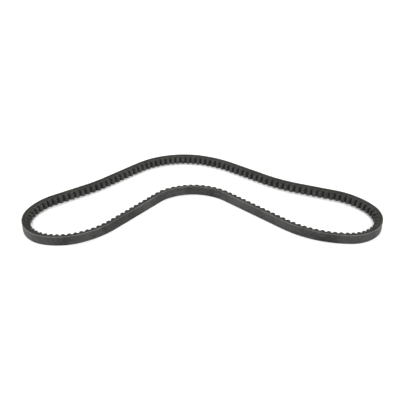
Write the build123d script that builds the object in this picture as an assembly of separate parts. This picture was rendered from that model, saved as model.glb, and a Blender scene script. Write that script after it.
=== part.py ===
from build123d import *

# Raw-edge V belt with moulded cogs, lying on its side in the loose curved loop
# that a belt takes off its pulleys. Millimetres, +Z up, resting on z = 0, with
# the middle of its outline over the origin.
#
# Every ply is a closed ring of constant section. A section is drawn as depth
# from the back face (the outside of the loop) against height above the floor,
# and is carried round the loop of bends and straights below.

import math
import os
from typing import NamedTuple

# Section of the belt
TOP_WIDTH = 13.0
HEIGHT = 10.0
WEDGE_ANGLE = 36.0
SHOULDER = 1.0  # depth of the square-cut edge at the back, which the belt lies on

# Depth from the back face at which each ply ends
OUTER_FABRIC = 0.5
INNER_FABRIC = 1.0
TENSION_RUBBER = 2.2
CORD_LINE = 3.0
LOWER_ADHESION = 3.8
UPPER_COMPRESSION = 4.4
LOWER_COMPRESSION = 5.0

# The tensile cord is one spiral, wound side by side across the belt
CORD_DIAMETER = 1.0
CORD_SPACING = 1.25
CORD_LAPS = 8

# Moulded cogs on the inside of the loop, faced with fabric
COGS = 145
COG_DEPTH = 4.2
NOTCH_MOUTH = 4.6  # width of the gap between two cogs at their tips
NOTCH_FLOOR = 2.0
NOTCH_FLOOR_RADIUS = 1.1
COG_FABRIC = 0.4
FIRST_NOTCH = 2.8  # round the cord line from the start of the first bend

# The loop of the back face, counter-clockwise: radius of a bend, its turn in
# degrees (left is positive) and the straight after it. The straights marked
# None are worked out so that the loop closes.
START_HEADING = 48.0
BENDS = [
    (36, -16, 0),
    (65, -73, None),
    (127, 40, 0),
    (49, 44, 0),
    (41, 80, 0),
    (86, 37, 49),
    (193, -15, 54),
    (145, 18, 0),
    (102, 59, 57),
    (171, -9, None),
    (67, 33, 0),
    (43, 100, 0),
    (75, 37, 0),
    (110, 25, 82),
]
CORD_STEP_BEND = 1  # the cord steps over to its next lap on the straight after this

UP = Vector(0, 0, 1)
TOLERANCE = 1e-6
CUT_MARGIN = 2.0  # how far a cutter runs on past the face that it opens


def heading(angle):
    return Vector(math.cos(math.radians(angle)), math.sin(math.radians(angle)), 0)


def inward(angle):
    return heading(angle + 90)


def bend_shift(radius, turn, angle):
    """How far a bend carries the path on from its start."""
    side = math.copysign(1, turn)
    centre = inward(angle) * (side * radius)
    return centre - inward(angle + turn) * (side * radius)


class Run(NamedTuple):
    """One bend or one straight of the back face; a straight has no radius."""

    place: Vector
    angle: float
    radius: float | None
    turn: float
    length: float
    bend: int

    def along(self, share):
        """Place and heading after a share of the run."""
        if self.radius is None:
            return self.place + heading(self.angle) * (self.length * share), self.angle
        turned = self.turn * share
        return self.place + bend_shift(self.radius, turned, self.angle), self.angle + turned

    def cord_length(self):
        """Length of the run at the depth of the cord."""
        return self.length - CORD_LINE * math.radians(self.turn)


def solved_straights():
    """The straights after the bends, with the two free ones closing the loop."""
    angle = START_HEADING
    gap = Vector(0, 0, 0)
    free = []
    for index, (radius, turn, straight) in enumerate(BENDS):
        gap -= bend_shift(radius, turn, angle)
        angle += turn
        if straight is None:
            free.append((index, heading(angle)))
        else:
            gap -= heading(angle) * straight
    (first, along), (second, across) = free
    spread = along.cross(across).Z
    straights = [straight for _, _, straight in BENDS]
    straights[first] = gap.cross(across).Z / spread
    straights[second] = along.cross(gap).Z / spread
    return straights


def runs_of_loop():
    runs = []
    place = Vector(0, 0, 0)
    angle = START_HEADING
    for index, ((radius, turn, _), straight) in enumerate(zip(BENDS, solved_straights())):
        runs.append(Run(place, angle, radius, turn, radius * math.radians(abs(turn)), index))
        place, angle = runs[-1].along(1)
        if straight > 0:
            runs.append(Run(place, angle, None, 0, straight, index))
            place, angle = runs[-1].along(1)
    return runs


def outline(runs):
    edges = []
    for run in runs:
        end, _ = run.along(1)
        if run.radius is None:
            edges.append(Line(run.place, end))
        else:
            middle, _ = run.along(1 / 2)
            edges.append(ThreePointArc(run.place, middle, end))
    return Curve() + edges


def centred_runs():
    """The runs, moved so that the middle of the belt's outline is the origin."""
    runs = runs_of_loop()
    box = outline(runs).bounding_box()
    middle = Vector(box.center().X, box.center().Y, 0)
    return [run._replace(place=run.place - middle) for run in runs]


RUNS = centred_runs()


def section_plane(place, angle):
    """Plane across the belt: its x is depth from the back face, its y is height."""
    return Plane(origin=place, x_dir=inward(angle), z_dir=heading(angle))


def carried(face, run):
    """A section carried along one run of the loop."""
    drawn = section_plane(run.place, run.angle) * face
    if run.radius is None:
        return extrude(drawn, amount=run.length)
    side = math.copysign(1, run.turn)
    axis = Axis(run.place + inward(run.angle) * (side * run.radius), UP * side)
    return revolve(drawn, axis, revolution_arc=abs(run.turn))


def is_cap(face, place, angle):
    """Whether a face lies in the section plane at a place."""
    across = [(Vector(*vertex) - place).dot(heading(angle)) for vertex in face.vertices()]
    return all(abs(distance) < TOLERANCE for distance in across)


def sides(solid, run):
    """The faces of a carried section, without those at its two ends."""
    ends = [run.along(0), run.along(1)]
    return [face for face in solid.faces() if not any(is_cap(face, *end) for end in ends)]


def ring(face):
    """A section carried all round the loop."""
    return Solid(Shell([side for run in RUNS for side in sides(carried(face, run), run)]))


def open_ring(face, runs):
    """A section carried along some of the runs, and closed at its two ends."""
    faces = [side for run in runs for side in sides(carried(face, run), run)]
    faces.append(section_plane(*runs[0].along(0)) * face)
    faces.append(section_plane(*runs[-1].along(1)) * face)
    return Solid(Shell(faces))


def edge_height(depth):
    """How far the raw edge stands off the floor at a depth below the back face."""
    return max(0, depth - SHOULDER) * math.tan(math.radians(WEDGE_ANGLE / 2))


def ply_section(top, bottom):
    low, high = edge_height(top), edge_height(bottom)
    corners = [(top, low), (bottom, high), (bottom, TOP_WIDTH - high), (top, TOP_WIDTH - low)]
    return make_face(Polyline(*corners, close=True))


def cord_height(lap):
    return TOP_WIDTH / 2 + (lap - (CORD_LAPS - 1) / 2) * CORD_SPACING


def cord_circle(lap):
    return Pos(CORD_LINE, cord_height(lap)) * Circle(CORD_DIAMETER / 2)


def step_run():
    """The straight on which the cord steps from each lap to the next."""
    return next(run for run in RUNS if run.radius is None and run.bend == CORD_STEP_BEND)


def runs_after_step():
    """All the other runs, in order from the end of the stepping straight."""
    at = RUNS.index(step_run())
    return RUNS[at + 1:] + RUNS[:at]


def cord_steps(lap):
    """The two shallow arcs that lift the cord by one spacing along the straight."""
    run = step_run()
    tilt = 2 * math.degrees(math.atan(CORD_SPACING / run.length))
    radius = run.length / 2 / math.sin(math.radians(tilt))
    low = run.place + inward(run.angle) * CORD_LINE + UP * cord_height(lap)
    high = low + heading(run.angle) * run.length + UP * CORD_SPACING
    start = section_plane(*run.along(0)) * cord_circle(lap)
    end = section_plane(*run.along(1)) * cord_circle(lap + 1)
    rise = revolve(start, Axis(low + UP * radius, -inward(run.angle)), tilt)
    return rise, revolve(end, Axis(high - UP * radius, -inward(run.angle)), tilt)


def tensile_cord():
    """One spiral cord: level laps round the loop, joined by steps on one straight."""
    runs = runs_after_step()
    faces = []
    for lap in range(CORD_LAPS):
        for run in runs:
            faces += sides(carried(cord_circle(lap), run), run)
    for lap in range(CORD_LAPS - 1):
        for arc in cord_steps(lap):
            faces += [face for face in arc.faces() if face.geom_type != GeomType.PLANE]
    faces.append(section_plane(*runs[0].along(0)) * cord_circle(0))
    faces.append(section_plane(*runs[-1].along(1)) * cord_circle(CORD_LAPS - 1))
    return Solid(Shell(faces))


def adhesion_rubber(top, bottom):
    """Rubber on one side of the cord, with the bed that the cord lies in."""
    plain = ply_section(top, bottom)
    bedded = plain
    for lap in range(CORD_LAPS):
        bedded -= cord_circle(lap)
    around = open_ring(bedded.face(), runs_after_step())
    straight = carried(plain, step_run())
    for lap in range(CORD_LAPS - 1):
        for arc in cord_steps(lap):
            straight -= arc
    return (around + straight).solid()


def station(distance):
    """Place and heading on the back face, by distance along the cord line."""
    for run in RUNS:
        if distance <= run.cord_length():
            return run.along(distance / run.cord_length())
        distance -= run.cord_length()


def notch(grown):
    """Gap between two cogs in plan, x into the loop and y along it."""
    floor = HEIGHT - COG_DEPTH - grown
    beyond = HEIGHT + CUT_MARGIN
    slope = (NOTCH_MOUTH - NOTCH_FLOOR) / 2 / COG_DEPTH
    at_floor = NOTCH_FLOOR / 2 + grown * (math.hypot(1, slope) - slope)
    at_beyond = at_floor + slope * (beyond - floor)
    corners = [(beyond, -at_beyond), (floor, -at_floor), (floor, at_floor), (beyond, at_beyond)]
    face = make_face(Polyline(*corners, close=True))
    rounded = [vertex for vertex in face.vertices() if abs(vertex.X - floor) < TOLERANCE]
    return fillet(rounded, NOTCH_FLOOR_RADIUS + grown)


def cogged(depth, grown):
    """The cog ply down to a depth, with the gaps between its cogs cut out."""
    base = ring(ply_section(LOWER_COMPRESSION, depth))
    gap = notch(grown)
    spacing = sum(run.cord_length() for run in RUNS) / COGS
    cutters = []
    for number in range(COGS):
        place, angle = station(FIRST_NOTCH + number * spacing)
        plane = Plane(origin=place, x_dir=inward(angle), z_dir=UP)
        cutters.append(extrude(plane * gap, TOP_WIDTH))
    return base.cut(*cutters)


PLIES = {
    "back_fabric_outer_ply": (0, OUTER_FABRIC),
    "back_fabric_inner_ply": (OUTER_FABRIC, INNER_FABRIC),
    "tension_rubber": (INNER_FABRIC, TENSION_RUBBER),
    "upper_compression_rubber": (LOWER_ADHESION, UPPER_COMPRESSION),
    "lower_compression_rubber": (UPPER_COMPRESSION, LOWER_COMPRESSION),
}


def all_pieces():
    pieces = {name: ring(ply_section(*depths)) for name, depths in PLIES.items()}
    pieces["upper_adhesion_rubber"] = adhesion_rubber(TENSION_RUBBER, CORD_LINE)
    pieces["tensile_cord"] = tensile_cord()
    pieces["lower_adhesion_rubber"] = adhesion_rubber(CORD_LINE, LOWER_ADHESION)
    pieces["cog_rubber"] = cogged(HEIGHT - COG_FABRIC, COG_FABRIC)
    pieces["cog_facing_fabric"] = (cogged(HEIGHT, 0) - pieces["cog_rubber"]).solid()
    return pieces


os.makedirs("parts", exist_ok=True)
for name, piece in all_pieces().items():
    export_step(piece, f"parts/{name}.step")
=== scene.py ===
import math

import bmesh
import bpy
import numpy as np
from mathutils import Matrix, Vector


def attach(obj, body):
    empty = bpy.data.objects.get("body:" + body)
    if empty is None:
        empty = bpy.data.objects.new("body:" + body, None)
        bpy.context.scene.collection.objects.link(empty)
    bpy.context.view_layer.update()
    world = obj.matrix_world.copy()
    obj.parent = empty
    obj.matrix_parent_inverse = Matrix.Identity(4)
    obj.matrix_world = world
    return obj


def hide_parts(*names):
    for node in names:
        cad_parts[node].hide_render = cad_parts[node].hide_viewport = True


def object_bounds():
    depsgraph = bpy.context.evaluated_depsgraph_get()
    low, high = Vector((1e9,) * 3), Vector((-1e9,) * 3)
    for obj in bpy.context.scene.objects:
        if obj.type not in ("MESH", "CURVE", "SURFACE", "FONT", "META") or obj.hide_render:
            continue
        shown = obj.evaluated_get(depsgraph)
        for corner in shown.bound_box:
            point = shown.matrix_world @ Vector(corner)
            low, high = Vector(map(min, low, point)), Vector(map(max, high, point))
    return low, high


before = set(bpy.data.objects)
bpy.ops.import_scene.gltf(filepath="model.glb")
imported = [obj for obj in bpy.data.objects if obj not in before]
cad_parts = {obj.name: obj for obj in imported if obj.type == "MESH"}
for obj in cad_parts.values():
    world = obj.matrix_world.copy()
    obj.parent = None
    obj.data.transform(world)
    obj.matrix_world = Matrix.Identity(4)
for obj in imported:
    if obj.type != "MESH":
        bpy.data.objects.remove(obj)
CAD_LOW, CAD_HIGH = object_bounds()

# ---------------------------------------------------------------------------
# Driving dimensions, in millimetres. The model itself is in metres.
# ---------------------------------------------------------------------------
MM = 0.001
TOP_WIDTH = 13.0
HEIGHT = 10.0
HALF_WEDGE = math.radians(18)
SHOULDER = 1.0

OUTER_FABRIC = 0.5
INNER_FABRIC = 1.0
TENSION_RUBBER = 2.2
CORD_LINE = 3.0
LOWER_ADHESION = 3.8
UPPER_COMPRESSION = 4.4
LOWER_COMPRESSION = 5.0

CORD_RADIUS = 0.5
CORD_SPACING = 1.25
CORD_LAPS = 8
CORD_STEP_BEND = 1
CORD_TWIST = 10.0  # length of one turn of the cord's three strands
CORD_STEP = 1.15  # length between two rings of the cord's mesh

COGS = 145
COG_DEPTH = 4.2
NOTCH_MOUTH = 4.6
NOTCH_FLOOR = 2.0
NOTCH_FLOOR_RADIUS = 1.1
COG_CORNER_RADIUS = 0.55  # of the finished cog's tips
LEAST_CORNER_RADIUS = 0.15  # of the rubber under the facing
COG_FABRIC = 0.4
FIRST_NOTCH = 2.8

# The loop of the back face: radius and turn of each bend and the straight after it
START_HEADING = 48.0
BENDS = [
    (36, -16, 0),
    (65, -73, None),
    (127, 40, 0),
    (49, 44, 0),
    (41, 80, 0),
    (86, 37, 49),
    (193, -15, 54),
    (145, 18, 0),
    (102, 59, 57),
    (171, -9, None),
    (67, 33, 0),
    (43, 100, 0),
    (75, 37, 0),
    (110, 25, 82),
]

# Camera, on the line through the aim point that looks down at this angle
LOOK_DOWN = math.radians(34.7)
AIM = Vector((-3.15, -1.18, 0)) * MM
CAMERA_DISTANCE = 817.9 * MM
LENS = 54.47


# ---------------------------------------------------------------------------
# The loop
# ---------------------------------------------------------------------------
def unit(angle):
    return np.array([math.cos(angle), math.sin(angle)])


def bend_shift(radius, turn, angle):
    side = math.copysign(1, turn)
    square = math.pi / 2
    return side * radius * (unit(angle + square) - unit(angle + turn + square))


def solved_straights():
    """The straights after the bends, with the two free ones closing the loop."""
    angle = math.radians(START_HEADING)
    gap = np.zeros(2)
    free = []
    for index, (radius, turn, straight) in enumerate(BENDS):
        gap -= bend_shift(radius, math.radians(turn), angle)
        angle += math.radians(turn)
        if straight is None:
            free.append((index, unit(angle)))
        else:
            gap -= unit(angle) * straight
    (first, along), (second, across) = free
    lengths = np.linalg.solve(np.column_stack([along, across]), gap)
    straights = [straight for _, _, straight in BENDS]
    straights[first], straights[second] = lengths
    return straights


def loop_runs():
    """Rows of start x, y, heading, radius (0 if straight), turn and cord-line length.

    Also returns the row of the straight on which the cord steps to its next lap.
    """
    rows = []
    step_row = 0
    place = np.zeros(2)
    angle = math.radians(START_HEADING)
    for bend, ((radius, degrees, _), straight) in enumerate(zip(BENDS, solved_straights())):
        turn = math.radians(degrees)
        cord_radius = radius - math.copysign(CORD_LINE, turn)
        rows.append([*place, angle, radius, turn, cord_radius * abs(turn)])
        place = place + bend_shift(radius, turn, angle)
        angle += turn
        if straight > 0:
            if bend == CORD_STEP_BEND:
                step_row = len(rows)
            rows.append([*place, angle, 0, 0, straight])
            place = place + unit(angle) * straight
    return np.array(rows), step_row


RUNS, STEP_ROW = loop_runs()
RUN_STARTS = np.concatenate([[0], np.cumsum(RUNS[:, 5])])
CORD_LENGTH = RUN_STARTS[-1]
COG_SPACING = CORD_LENGTH / COGS


def loop_place(distance):
    """Points on the back face and the directions into the loop, by cord-line distance."""
    distance = np.mod(distance, CORD_LENGTH)
    run = np.clip(np.searchsorted(RUN_STARTS, distance, side="right") - 1, 0, len(RUNS) - 1)
    x, y, angle, radius, turn, length = RUNS[run].T
    share = (distance - RUN_STARTS[run]) / length
    now = angle + turn * share
    side = np.sign(turn)
    into = np.stack([-np.sin(now), np.cos(now)], -1)
    start_into = np.stack([-np.sin(angle), np.cos(angle)], -1)
    start = np.stack([x, y], -1)
    bent = start + (side * radius)[:, None] * (start_into - into)
    along = np.stack([np.cos(angle), np.sin(angle)], -1)
    straight = start + along * (share * length)[:, None]
    return np.where((radius > 0)[:, None], bent, straight), into


def outline_middle():
    points, _ = loop_place(np.linspace(0, CORD_LENGTH, 20000))
    return (points.min(0) + points.max(0)) / 2


BOX_MIDDLE = np.array((CAD_LOW + CAD_HIGH) / 2)[:2] / MM
SHIFT = BOX_MIDDLE - outline_middle()


# ---------------------------------------------------------------------------
# Mesh helpers
# ---------------------------------------------------------------------------
def edge_height(depth):
    """Height of the lower raw edge at a depth below the back face."""
    return np.maximum(0, depth - SHOULDER) * math.tan(HALF_WEDGE)


def grid_mesh(name, distance, depth, height, across, material):
    """A closed ring of belt. Each array is (steps round the loop, points round the section).

    The distance is along the cord line, the depth is from the back face, and across
    is the second texture coordinate. All are in millimetres.
    """
    steps, points = depth.shape
    verts = belt_points(distance.ravel(), depth.ravel(), height.ravel())
    i, j = np.meshgrid(np.arange(steps), np.arange(points), indexing="ij")
    ni, nj = (i + 1) % steps, (j + 1) % points
    quads = np.stack([i * points + j, ni * points + j, ni * points + nj, i * points + nj], -1)
    here = np.stack([distance, across], -1)
    onward = np.concatenate([here[1:], here[:1] + [CORD_LENGTH, 0]])
    beside = [np.roll(side, -1, 1) for side in (onward, here)]
    uv = np.stack([here, onward, *beside], -2)
    return make_mesh(name, verts, quads.reshape(-1, 4), uv.reshape(-1, 2) * MM, material)


def belt_points(distance, depth, height):
    """Points of the belt in metres, from millimetres along, into and up the belt."""
    place, into = loop_place(distance)
    flat = place + SHIFT + into * depth[:, None]
    return np.column_stack([flat, height]) * MM


def make_mesh(name, verts, quads, uv, material):
    if signed_volume(verts, quads) < 0:
        quads = quads[:, ::-1]
        uv = uv.reshape(-1, 4, 2)[:, ::-1].reshape(-1, 2)
    mesh = bpy.data.meshes.new(name)
    mesh.vertices.add(len(verts))
    mesh.vertices.foreach_set("co", np.ascontiguousarray(verts, np.float32).ravel())
    mesh.loops.add(quads.size)
    mesh.loops.foreach_set("vertex_index", np.ascontiguousarray(quads, np.int32).ravel())
    mesh.polygons.add(len(quads))
    mesh.polygons.foreach_set("loop_start", np.arange(0, quads.size, 4, dtype=np.int32))
    mesh.polygons.foreach_set("use_smooth", np.ones(len(quads), bool))
    mesh.update(calc_edges=True)
    layer = mesh.uv_layers.new(name="belt")
    layer.data.foreach_set("uv", np.ascontiguousarray(uv, np.float32).ravel())
    mesh.materials.append(material)
    mesh.validate()
    piece = bpy.data.objects.new(name, mesh)
    bpy.context.scene.collection.objects.link(piece)
    return piece


def signed_volume(verts, quads):
    a, b, c, d = (verts[quads[:, k]] for k in range(4))
    first = np.einsum("ij,ij->i", a, np.cross(b, c)).sum()
    return first + np.einsum("ij,ij->i", a, np.cross(c, d)).sum()


def rounded_section(corners, radii):
    """A closed outline (depth, height) with arcs at its corners and points along its sides."""
    corners = [np.array(c, float) for c in corners]
    count = len(corners)
    arcs = []
    for k in range(count):
        before, here, after = corners[k - 1], corners[k], corners[(k + 1) % count]
        to_before = (before - here) / np.linalg.norm(before - here)
        to_after = (after - here) / np.linalg.norm(after - here)
        opening = math.acos(np.clip(to_before @ to_after, -1, 1))
        back = radii[k] / math.tan(opening / 2)
        bisector = to_before + to_after
        centre = here + bisector / np.linalg.norm(bisector) * radii[k] / math.sin(opening / 2)
        start = here + to_before * back - centre
        end = here + to_after * back - centre
        arc = []
        for share in np.linspace(0, 1, 5):
            mix = start * (1 - share) + end * share
            arc.append(centre + mix / np.linalg.norm(mix) * radii[k])
        arcs.append(arc)
    outline = []
    for k in range(count):
        outline += arcs[k]
        start, end = arcs[k][-1], arcs[(k + 1) % count][0]
        pieces = max(1, round(np.linalg.norm(end - start) / SECTION_STEP))
        outline += [start + (end - start) * n / pieces for n in range(1, pieces)]
    return np.array(outline)


def perimeter(section):
    """Distance round a section, counted to each of its points."""
    sides = np.linalg.norm(np.diff(section, axis=0), axis=1)
    return np.concatenate([[0], np.cumsum(sides)])


PLY_STEPS = COGS * 8
SECTION_STEP = 0.8  # between the points along the sides of a ply's section
LOWER_CORNER = 0.06  # radius of the corner of a ply that is nearest to the floor

# How the raw edge of each slot's plies is finished: the radius of its corner nearer the
# back, that of its corner nearer the cogs, and how far it lies back from its neighbours
EDGES = {
    "back_fabric": (0.4, 0.06, 0),
    "back_fabric_inner": (0.06, 0.06, 0.03),
    "tension_rubber": (0.07, 0.07, 0),
    "adhesion_rubber": (0.07, 0.07, 0.03),
    "compression_rubber": (0.07, 0.07, 0),
}


def ply(name, node, top, bottom, slot, material):
    """One flat ply of the belt, in place of its CAD node."""
    back_radius, cog_radius, recess = EDGES[slot]
    low, high = edge_height(top) + recess, edge_height(bottom) + recess
    corners = [(top, low), (bottom, high), (bottom, TOP_WIDTH - high), (top, TOP_WIDTH - low)]
    section = rounded_section(corners, [LOWER_CORNER, cog_radius, cog_radius, back_radius])
    distance = np.arange(PLY_STEPS)[:, None] * CORD_LENGTH / PLY_STEPS
    shape = (PLY_STEPS, len(section))
    piece = grid_mesh(
        name,
        np.broadcast_to(distance, shape),
        np.broadcast_to(section[:, 0], shape),
        np.broadcast_to(section[:, 1], shape),
        np.broadcast_to(perimeter(section), shape),
        material,
    )
    stand_for(piece, node)


def stand_for(piece, node):
    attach(piece, "root")
    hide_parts(node)


# ---------------------------------------------------------------------------
# Cord
# ---------------------------------------------------------------------------
def cord_route():
    """Cord-line distance and height of points along the whole spiral cord."""
    step_start, step_length = RUN_STARTS[STEP_ROW], RUNS[STEP_ROW, 5]
    level = CORD_LENGTH - step_length
    total = CORD_LAPS * level + (CORD_LAPS - 1) * step_length
    travelled = np.linspace(0, total, round(total / CORD_STEP))
    lap, rest = np.divmod(travelled, CORD_LENGTH)
    share = np.clip((rest - level) / step_length, 0, 1)
    rise = np.where(share < 0.5, 2 * share**2, 1 - 2 * (1 - share) ** 2)
    lowest = TOP_WIDTH / 2 - (CORD_LAPS - 1) / 2 * CORD_SPACING
    return travelled, step_start + step_length + travelled, lowest + (lap + rise) * CORD_SPACING


def cord_piece(material):
    """The tensile cord, as three strands twisted together."""
    travelled, distance, height = cord_route()
    around = np.linspace(0, 2 * math.pi, 12, endpoint=False)
    twisted = around + travelled[:, None] * 2 * math.pi / CORD_TWIST
    radius = CORD_RADIUS * (0.78 + 0.2 * np.abs(np.cos(1.5 * around)))
    depth = CORD_LINE + radius * np.cos(twisted)
    level = height[:, None] + radius * np.sin(twisted)
    steps, points = depth.shape
    verts = belt_points(np.repeat(distance, points), depth.ravel(), level.ravel())
    middles = belt_points(distance[[0, -1]], np.full(2, CORD_LINE), height[[0, -1]])
    i, j = np.meshgrid(np.arange(steps - 1), np.arange(points), indexing="ij")
    nj = (j + 1) % points
    quads = [i * points + j, (i + 1) * points + j, (i + 1) * points + nj, i * points + nj]
    quads = np.stack(quads, -1).reshape(-1, 4)
    along = np.broadcast_to(travelled[:, None], depth.shape)
    across = np.broadcast_to(around / math.pi, depth.shape)
    place = np.stack([along, across], -1).reshape(-1, 2)
    uv = place[quads].reshape(-1, 2) * MM
    piece = make_mesh("cord_of_three_strands", verts, quads, uv, material)
    close_ends(piece.data, points, middles)
    return piece


def close_ends(mesh, points, middles):
    """Close the two open ends of a tube with a fan of triangles round a middle point."""
    bm = bmesh.new()
    bm.from_mesh(mesh)
    rim_verts = list(bm.verts)
    for rim, middle in zip((rim_verts[points - 1::-1], rim_verts[-points:]), middles):
        centre = bm.verts.new(middle)
        for k in range(points):
            bm.faces.new((rim[k], rim[(k + 1) % points], centre))
    bmesh.ops.recalc_face_normals(bm, faces=bm.faces)
    bm.to_mesh(mesh)
    bm.free()


# ---------------------------------------------------------------------------
# Cogs
# ---------------------------------------------------------------------------
def arc_points(centre, radius, start, end, count):
    angles = np.linspace(math.radians(start), math.radians(end), count)
    return [(centre[0] + radius * math.cos(a), centre[1] + radius * math.sin(a)) for a in angles]


def cog_profile(grown):
    """Half of one cog in plan: (distance from the middle of the notch, depth from the back).

    grown is how far the surface lies inside the finished cog.
    """
    slope = (NOTCH_MOUTH - NOTCH_FLOOR) / 2 / COG_DEPTH
    lean = math.atan(slope)
    floor = HEIGHT - COG_DEPTH - grown
    tip = HEIGHT - grown
    floor_half = NOTCH_FLOOR / 2 + grown * (math.hypot(1, slope) - slope)
    radius = NOTCH_FLOOR_RADIUS + grown
    back = radius * math.tan((math.pi / 2 - lean) / 2)
    centre = (floor_half - back, floor + radius)
    lean_degrees = math.degrees(lean)
    points = [(0.0, floor)]
    points += arc_points(centre, radius, -90, -lean_degrees, 6)
    corner = max(LEAST_CORNER_RADIUS, COG_CORNER_RADIUS - grown)
    tip_half = floor_half + slope * (tip - floor)
    tip_back = corner * math.tan((math.pi / 2 - lean) / 2)
    tip_centre = (tip_half + tip_back, tip - corner)
    wall_end = arc_points(tip_centre, corner, 180 - lean_degrees, 90, 5)
    wall_start = points[-1]
    for share in (0.33, 0.67):
        points.append(tuple(np.array(wall_start) * (1 - share) + np.array(wall_end[0]) * share))
    points += wall_end
    middle = COG_SPACING / 2
    points.append(((points[-1][0] + middle) / 2, tip))
    return np.array(points), (middle, tip)


def cog_columns(grown):
    """Distances and depths of the cog surface all the way round the loop."""
    half, middle = cog_profile(grown)
    mirrored = half[1:][::-1] * [-1, 1]
    one = np.vstack([mirrored, half, [middle]])
    starts = FIRST_NOTCH + np.arange(COGS)[:, None] * COG_SPACING
    distance = (starts + one[:, 0]).ravel()
    depth = np.tile(one[:, 1], COGS)
    return distance, depth


RUBBER_ROWS = 9  # of points across the belt, on the cogs and on the flat side of their ply
FACING_ROWS = 11


def across_rows(count):
    """Shares across the belt's width, closer together near the two edges."""
    return 0.5 - 0.5 * np.cos(np.linspace(0, math.pi, count))


def cog_rubber(material):
    """The cogs and the web that joins them, from the compression rubber to the facing."""
    distance, depth = cog_columns(COG_FABRIC)
    shares = across_rows(RUBBER_ROWS)
    rows = []
    for share in (0, 0.34, 0.67):
        rows.append((LOWER_COMPRESSION + (depth - LOWER_COMPRESSION) * share, 0.0))
    for share in shares[:-1]:
        rows.append((depth, share))
    for share in (1, 0.67, 0.34):
        rows.append((LOWER_COMPRESSION + (depth - LOWER_COMPRESSION) * share, 1.0))
    for share in shares[::-1][:-1]:
        rows.append((np.full_like(depth, LOWER_COMPRESSION), share))
    return cog_grid("cog_rubber_ply", distance, rows, material)


def cog_facing(material):
    """The fabric over the cogs: its outer surface, and back along its inner one."""
    outer_distance, outer_depth = cog_columns(0)
    inner_distance, inner_depth = cog_columns(COG_FABRIC)
    shares = across_rows(FACING_ROWS)
    rows = [(outer_distance, outer_depth, share) for share in shares]
    rows += [(inner_distance, inner_depth, share) for share in shares[::-1]]
    depth = np.stack([row[1] for row in rows], 1)
    distance = np.stack([row[0] for row in rows], 1)
    share = np.array([row[2] for row in rows])
    low = edge_height(depth)
    height = low + (TOP_WIDTH - 2 * low) * share
    return grid_mesh("cog_facing", distance, depth, height, height, material)


def cog_grid(name, distance, rows, material):
    """A ring from rows of (depth, share of the belt's width), over columns of distance."""
    depth = np.stack([row[0] for row in rows], 1)
    share = np.array([row[1] for row in rows])
    low = edge_height(depth)
    height = low + (TOP_WIDTH - 2 * low) * share
    around = np.broadcast_to(distance[:, None], depth.shape)
    across = height + depth
    return grid_mesh(name, around, depth, height, across, material)


# ---------------------------------------------------------------------------
# Materials
# ---------------------------------------------------------------------------
class Nodes:
    """A small helper that adds and links shader nodes. Noise scales are per metre."""

    def __init__(self, name):
        self.material = bpy.data.materials.new(name)
        self.material.use_nodes = True
        self.tree = self.material.node_tree
        self.shader = self.tree.nodes["Principled BSDF"]

    def add(self, kind, inputs=None, **settings):
        node = self.tree.nodes.new("ShaderNode" + kind)
        for key, value in settings.items():
            setattr(node, key, value)
        for key, value in (inputs or {}).items():
            self.feed(node.inputs[key], value)
        return node

    def feed(self, socket, value):
        if isinstance(value, bpy.types.NodeSocket):
            self.tree.links.new(value, socket)
        else:
            socket.default_value = value

    def math(self, operation, a, b=0.0, clamp=False):
        node = self.add("Math", {0: a, 1: b}, operation=operation, use_clamp=clamp)
        return node.outputs[0]

    def total(self, shares):
        """Sum of values, each times its share."""
        result = 0.0
        for value, share in shares:
            result = self.math("ADD", self.math("MULTIPLY", value, share), result)
        return result

    def noise(self, vector, scale, detail=3.0, roughness=0.55):
        inputs = {"Vector": vector, "Scale": scale, "Detail": detail, "Roughness": roughness}
        return self.add("TexNoise", inputs).outputs["Fac"]

    def stretched(self, vector, scale):
        return self.add("Mapping", {"Vector": vector, "Scale": scale}).outputs["Vector"]

    def ramp(self, value, low, high, to_low=0.0, to_high=1.0):
        inputs = {
            "Value": value,
            "From Min": low,
            "From Max": high,
            "To Min": to_low,
            "To Max": to_high,
        }
        return self.add("MapRange", inputs).outputs["Result"]

    def colour(self, factor, dark, light):
        node = self.add("Mix", data_type="RGBA")
        factor_in, dark_in, light_in = node.inputs[0], node.inputs[6], node.inputs[7]
        self.feed(factor_in, factor)
        for socket, value in ((dark_in, dark), (light_in, light)):
            self.feed(socket, (*value, 1) if isinstance(value, tuple) else value)
        return node.outputs[2]

    def bump(self, height, distance, strength=1.0, normal=None):
        inputs = {"Height": height, "Distance": distance, "Strength": strength}
        if normal is not None:
            inputs["Normal"] = normal
        return self.add("Bump", inputs).outputs["Normal"]


def weave_height(n, uv, thread):
    """Height of a plain weave laid on the bias, from 0 in the gaps to 1 on the threads."""
    parts = n.add("SeparateXYZ", {"Vector": uv})
    u, v = parts.outputs[0], parts.outputs[1]
    scale = 1 / thread
    a = n.math("MULTIPLY", n.math("ADD", n.math("MULTIPLY", u, 0.62), v), scale)
    b = n.math("MULTIPLY", n.math("SUBTRACT", n.math("MULTIPLY", u, 0.62), v), scale)
    sine_a = n.math("SINE", n.math("MULTIPLY", a, math.pi))
    sine_b = n.math("SINE", n.math("MULTIPLY", b, math.pi))
    over = n.math("MULTIPLY", n.math("MULTIPLY", sine_a, sine_b), 0.4)
    warp = n.math("MULTIPLY", n.math("ABSOLUTE", sine_a), n.math("ADD", over, 0.6))
    weft = n.math("MULTIPLY", n.math("ABSOLUTE", sine_b), n.math("SUBTRACT", 0.6, over))
    return n.math("MAXIMUM", warp, weft)


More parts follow.
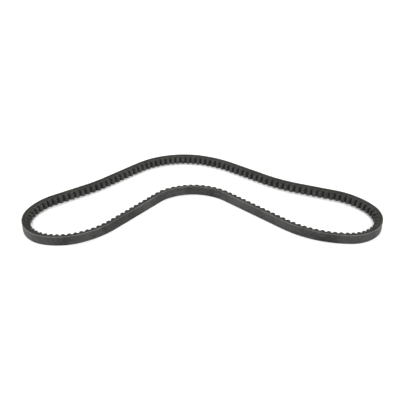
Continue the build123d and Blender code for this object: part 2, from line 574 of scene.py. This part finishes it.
def fabric_material(name, dark, light, thread):
    """Rubberised cloth: a weave filled with rubber.

    Returns the material's nodes, its texture coordinates and its colour.
    """
    n = Nodes(name)
    uv = n.add("UVMap", uv_map="belt").outputs["UV"]
    position = n.add("TexCoord").outputs["Object"]
    weave = weave_height(n, uv, thread)
    streaks = n.noise(n.stretched(uv, (70, 800, 1)), 1.0, 4.0, 0.6)
    smears = n.noise(position, 240, 3.0, 0.6)
    flecks = n.noise(position, 750, 2.0, 0.6)
    grain = n.noise(position, 2600, 2.0)
    patches = n.noise(position, 28, 3.0)
    filled = n.math("MULTIPLY", weave, n.ramp(patches, 0.3, 0.7, 0.6, 1.0))
    shares = ((streaks, 0.3), (smears, 0.7), (flecks, 1.0), (patches, 1.0), (grain, 0.1), (filled, 0.3))
    tone = n.ramp(n.total(shares), 1.45, 1.87)
    n.feed(n.shader.inputs["Roughness"], n.ramp(tone, 0, 1, 0.58, 0.76))
    height = n.math("ADD", filled, n.math("MULTIPLY", grain, 0.35))
    n.feed(n.shader.inputs["Normal"], n.bump(height, 0.00007))
    n.shader.inputs["Specular IOR Level"].default_value = 0.3
    n.shader.inputs["Sheen Weight"].default_value = 0.06
    n.shader.inputs["Sheen Roughness"].default_value = 0.5
    return n, uv, tone, n.colour(tone, dark, light)


# Places round a back ply's section, in metres, of its lower raw edge, of its upper one
# and of the corner where the section closes
CUT_EDGES = (0.0003, 0.0138, 0.0270)
# Colour of the cut threads along the raw edges, lifted into a painted highlight on the edge
PALE_EDGE_AND_HIGHLIGHT = (0.115, 0.1115, 0.101)
BACK_THREAD = 0.00055
FACING_THREAD = 0.0004


def back_material(name, dark, light, rim):
    """The cloth of the belt's back, paler along its two cut edges: partly its cut threads, partly a
    painted highlight.
    """
    n, uv, tone, colour = fabric_material(name, dark, light, BACK_THREAD)
    across = n.add("SeparateXYZ", {"Vector": uv}).outputs[1]
    # edge mask: the paler cut threads and a painted highlight along the raw edges
    cut = 0.0
    for place in CUT_EDGES:
        off = n.math("ABSOLUTE", n.math("SUBTRACT", across, place))
        cut = n.math("ADD", cut, n.ramp(off, 0.0003, 0.0009, 1.0, 0.0))
    cut = n.math("MULTIPLY", cut, n.ramp(tone, 0.0, 1.0, rim, 1.0), True)
    n.feed(n.shader.inputs["Base Color"], n.colour(cut, colour, PALE_EDGE_AND_HIGHLIGHT))
    return n.material


def facing_material(name, dark, light, notch):
    """The cloth moulded over the cogs, with painted shade: darker in the notches than on the tips."""
    n, uv, _, colour = fabric_material(name, dark, light, FACING_THREAD)
    along = n.add("SeparateXYZ", {"Vector": uv}).outputs[0]
    from_notch = n.math("SUBTRACT", along, FIRST_NOTCH * MM)
    turns = n.math("MULTIPLY", from_notch, 2 * math.pi / COG_SPACING / MM)
    # painted shade: 1 in each notch, where the colour goes to the near-black notch colour
    depth = n.ramp(n.math("COSINE", turns), -0.5, 0.7, 0.0, 1.0)
    n.feed(n.shader.inputs["Base Color"], n.colour(depth, colour, notch))
    return n.material


def cut_rubber_material(name, dark, light, fibres):
    """Rubber ground along the raw edge, with the cut ends of its short fibres."""
    n = Nodes(name)
    uv = n.add("UVMap", uv_map="belt").outputs["UV"]
    position = n.add("TexCoord").outputs["Object"]
    grinding = n.noise(n.stretched(uv, (120, 4200, 1)), 1.0, 3.0, 0.6)
    smears = n.noise(position, 260, 3.0, 0.6)
    grain = n.noise(position, 3200, 2.0)
    patches = n.noise(position, 40, 3.0)
    cells = n.add("TexVoronoi", {"Vector": position, "Scale": 1900.0, "Randomness": 1.0})
    specks = n.ramp(cells.outputs["Distance"], 0.0, 0.34, 1.0, 0.0)
    wanted = n.add("SeparateColor", {"Color": cells.outputs["Color"]}).outputs[0]
    specks = n.math("MULTIPLY", specks, n.math("LESS_THAN", wanted, fibres))
    shares = ((grinding, 0.4), (smears, 0.6), (patches, 0.4), (grain, 0.2))
    tone = n.math("ADD", n.ramp(n.total(shares), 0.6, 1.0), n.math("MULTIPLY", specks, 0.8), True)
    n.feed(n.shader.inputs["Base Color"], n.colour(tone, dark, light))
    n.feed(n.shader.inputs["Roughness"], n.ramp(tone, 0, 1, 0.66, 0.82))
    height = n.math("ADD", n.math("MULTIPLY", grinding, 0.6), n.math("MULTIPLY", grain, 0.5))
    n.feed(n.shader.inputs["Normal"], n.bump(height, 0.00006))
    n.shader.inputs["Specular IOR Level"].default_value = 0.2
    return n.material


def cord_material(name, dark, light):
    """Dipped polyester cord, with the fine filaments of its three strands."""
    n = Nodes(name)
    uv = n.add("UVMap", uv_map="belt").outputs["UV"]
    position = n.add("TexCoord").outputs["Object"]
    filaments = n.noise(n.stretched(uv, (400, 9000, 1)), 1.0, 3.0)
    stain = n.noise(position, 300, 3.0)
    tone = n.total(((filaments, 0.6), (stain, 0.5)))
    n.feed(n.shader.inputs["Base Color"], n.colour(tone, dark, light))
    n.feed(n.shader.inputs["Normal"], n.bump(filaments, 0.00004))
    n.shader.inputs["Roughness"].default_value = 0.7
    return n.material


# ---------------------------------------------------------------------------
# Camera, floor and light
# ---------------------------------------------------------------------------
def make_camera():
    camera = bpy.data.objects.new("camera", bpy.data.cameras.new("camera"))
    back = Vector((0, -math.cos(LOOK_DOWN), math.sin(LOOK_DOWN)))
    camera.location = AIM + back * CAMERA_DISTANCE
    camera.rotation_mode = "QUATERNION"
    camera.rotation_quaternion = (-back).to_track_quat("-Z", "Y")
    camera.data.lens = LENS
    camera.data.clip_start, camera.data.clip_end = 0.01, 50
    bpy.context.scene.collection.objects.link(camera)
    bpy.context.scene.camera = camera


def make_floor():
    size = 6.0
    mesh = bpy.data.meshes.new("floor")
    corners = [(-size, -size, 0), (size, -size, 0), (size, size, 0), (-size, size, 0)]
    mesh.from_pydata(corners, [], [(0, 1, 2, 3)])
    n = Nodes("floor_white")
    n.shader.inputs["Base Color"].default_value = (0.92, 0.92, 0.92, 1)
    n.shader.inputs["Roughness"].default_value = 0.9
    n.shader.inputs["Specular IOR Level"].default_value = 0.1
    mesh.materials.append(n.material)
    floor = bpy.data.objects.new("floor", mesh)
    bpy.context.scene.collection.objects.link(floor)


def area_light(name, place, size, power):
    data = bpy.data.lights.new(name, "AREA")
    data.shape = "DISK"
    data.size = size
    data.energy = power
    aim_light(name, data, place)


def distant_light(name, place, spread, strength):
    data = bpy.data.lights.new(name, "SUN")
    data.angle = math.radians(spread)
    data.energy = strength
    aim_light(name, data, place)


def aim_light(name, data, place):
    light = bpy.data.objects.new(name, data)
    light.location = place
    light.rotation_mode = "QUATERNION"
    light.rotation_quaternion = (-Vector(place)).to_track_quat("-Z", "Y")
    bpy.context.scene.collection.objects.link(light)


def make_light():
    world = bpy.data.worlds.new("studio")
    world.use_nodes = True
    background = world.node_tree.nodes["Background"]
    background.inputs["Color"].default_value = (1, 1, 1, 1)
    background.inputs["Strength"].default_value = 0.43
    bpy.context.scene.world = world
    distant_light("key", (0.0, -1.15, 1.0), 36, 2.4)
    area_light("top", (0.0, 0.45, 1.2), 0.8, 7.5)
    area_light("left", (-1.3, -0.1, 0.6), 0.8, 8.5)
    area_light("right", (1.3, -0.1, 0.6), 0.8, 7.0)
    bpy.context.scene.view_settings.view_transform = "Standard"


# ---------------------------------------------------------------------------
# The belt
# ---------------------------------------------------------------------------
# Each flat ply: piece, its CAD node, the depths of its top and bottom, and its slot
PLIES = [
    ("back_outer_ply", "back_fabric_outer_ply", 0, OUTER_FABRIC, "back_fabric"),
    ("back_inner_ply", "back_fabric_inner_ply", OUTER_FABRIC, INNER_FABRIC, "back_fabric_inner"),
    ("tension_ply", "tension_rubber", INNER_FABRIC, TENSION_RUBBER, "tension_rubber"),
    ("adhesion_ply_upper", "upper_adhesion_rubber", TENSION_RUBBER, CORD_LINE, "adhesion_rubber"),
    ("adhesion_ply_lower", "lower_adhesion_rubber", CORD_LINE, LOWER_ADHESION, "adhesion_rubber"),
    (
        "compression_ply_upper",
        "upper_compression_rubber",
        LOWER_ADHESION,
        UPPER_COMPRESSION,
        "compression_rubber",
    ),
    (
        "compression_ply_lower",
        "lower_compression_rubber",
        UPPER_COMPRESSION,
        LOWER_COMPRESSION,
        "compression_rubber",
    ),
]


def make_materials():
    """The material of each slot, from its darkest to its lightest colour."""
    return {
        "back_fabric": back_material(
            "back_fabric_weave", (0.004, 0.004, 0.004), (0.0425, 0.0422, 0.0408), 0.3
        ),
        "back_fabric_inner": back_material(
            "inner_fabric_weave", (0.012, 0.012, 0.011), (0.06, 0.059, 0.054), 0.4
        ),
        "cog_fabric": facing_material(
            "cog_facing_weave_notch_shade",
            (0.009, 0.0088, 0.0081),
            (0.048, 0.0472, 0.0444),
            # notch colour: painted shade in the notches
            (0.0042, 0.0042, 0.0038),
        ),
        "tension_rubber": cut_rubber_material(
            "tension_rubber_cut", (0.01, 0.0097, 0.0086), (0.05, 0.0486, 0.043), 0.1
        ),
        "adhesion_rubber": cut_rubber_material(
            "adhesion_rubber_cut", (0.007, 0.0068, 0.0061), (0.035, 0.0343, 0.0308), 0.02
        ),
        "compression_rubber": cut_rubber_material(
            "compression_rubber_cut", (0.01, 0.0097, 0.0085), (0.05, 0.0484, 0.0425), 0.25
        ),
        "cord": cord_material("tensile_cord_polyester", (0.3, 0.22, 0.15), (0.62, 0.55, 0.44)),
    }


def build_belt():
    materials = make_materials()
    for name, node, top, bottom, slot in PLIES:
        ply(name, node, top, bottom, slot, materials[slot])
    stand_for(cog_rubber(materials["compression_rubber"]), "cog_rubber")
    stand_for(cog_facing(materials["cog_fabric"]), "cog_facing_fabric")
    stand_for(cord_piece(materials["cord"]), "tensile_cord")


make_camera()
make_floor()
make_light()
build_belt()
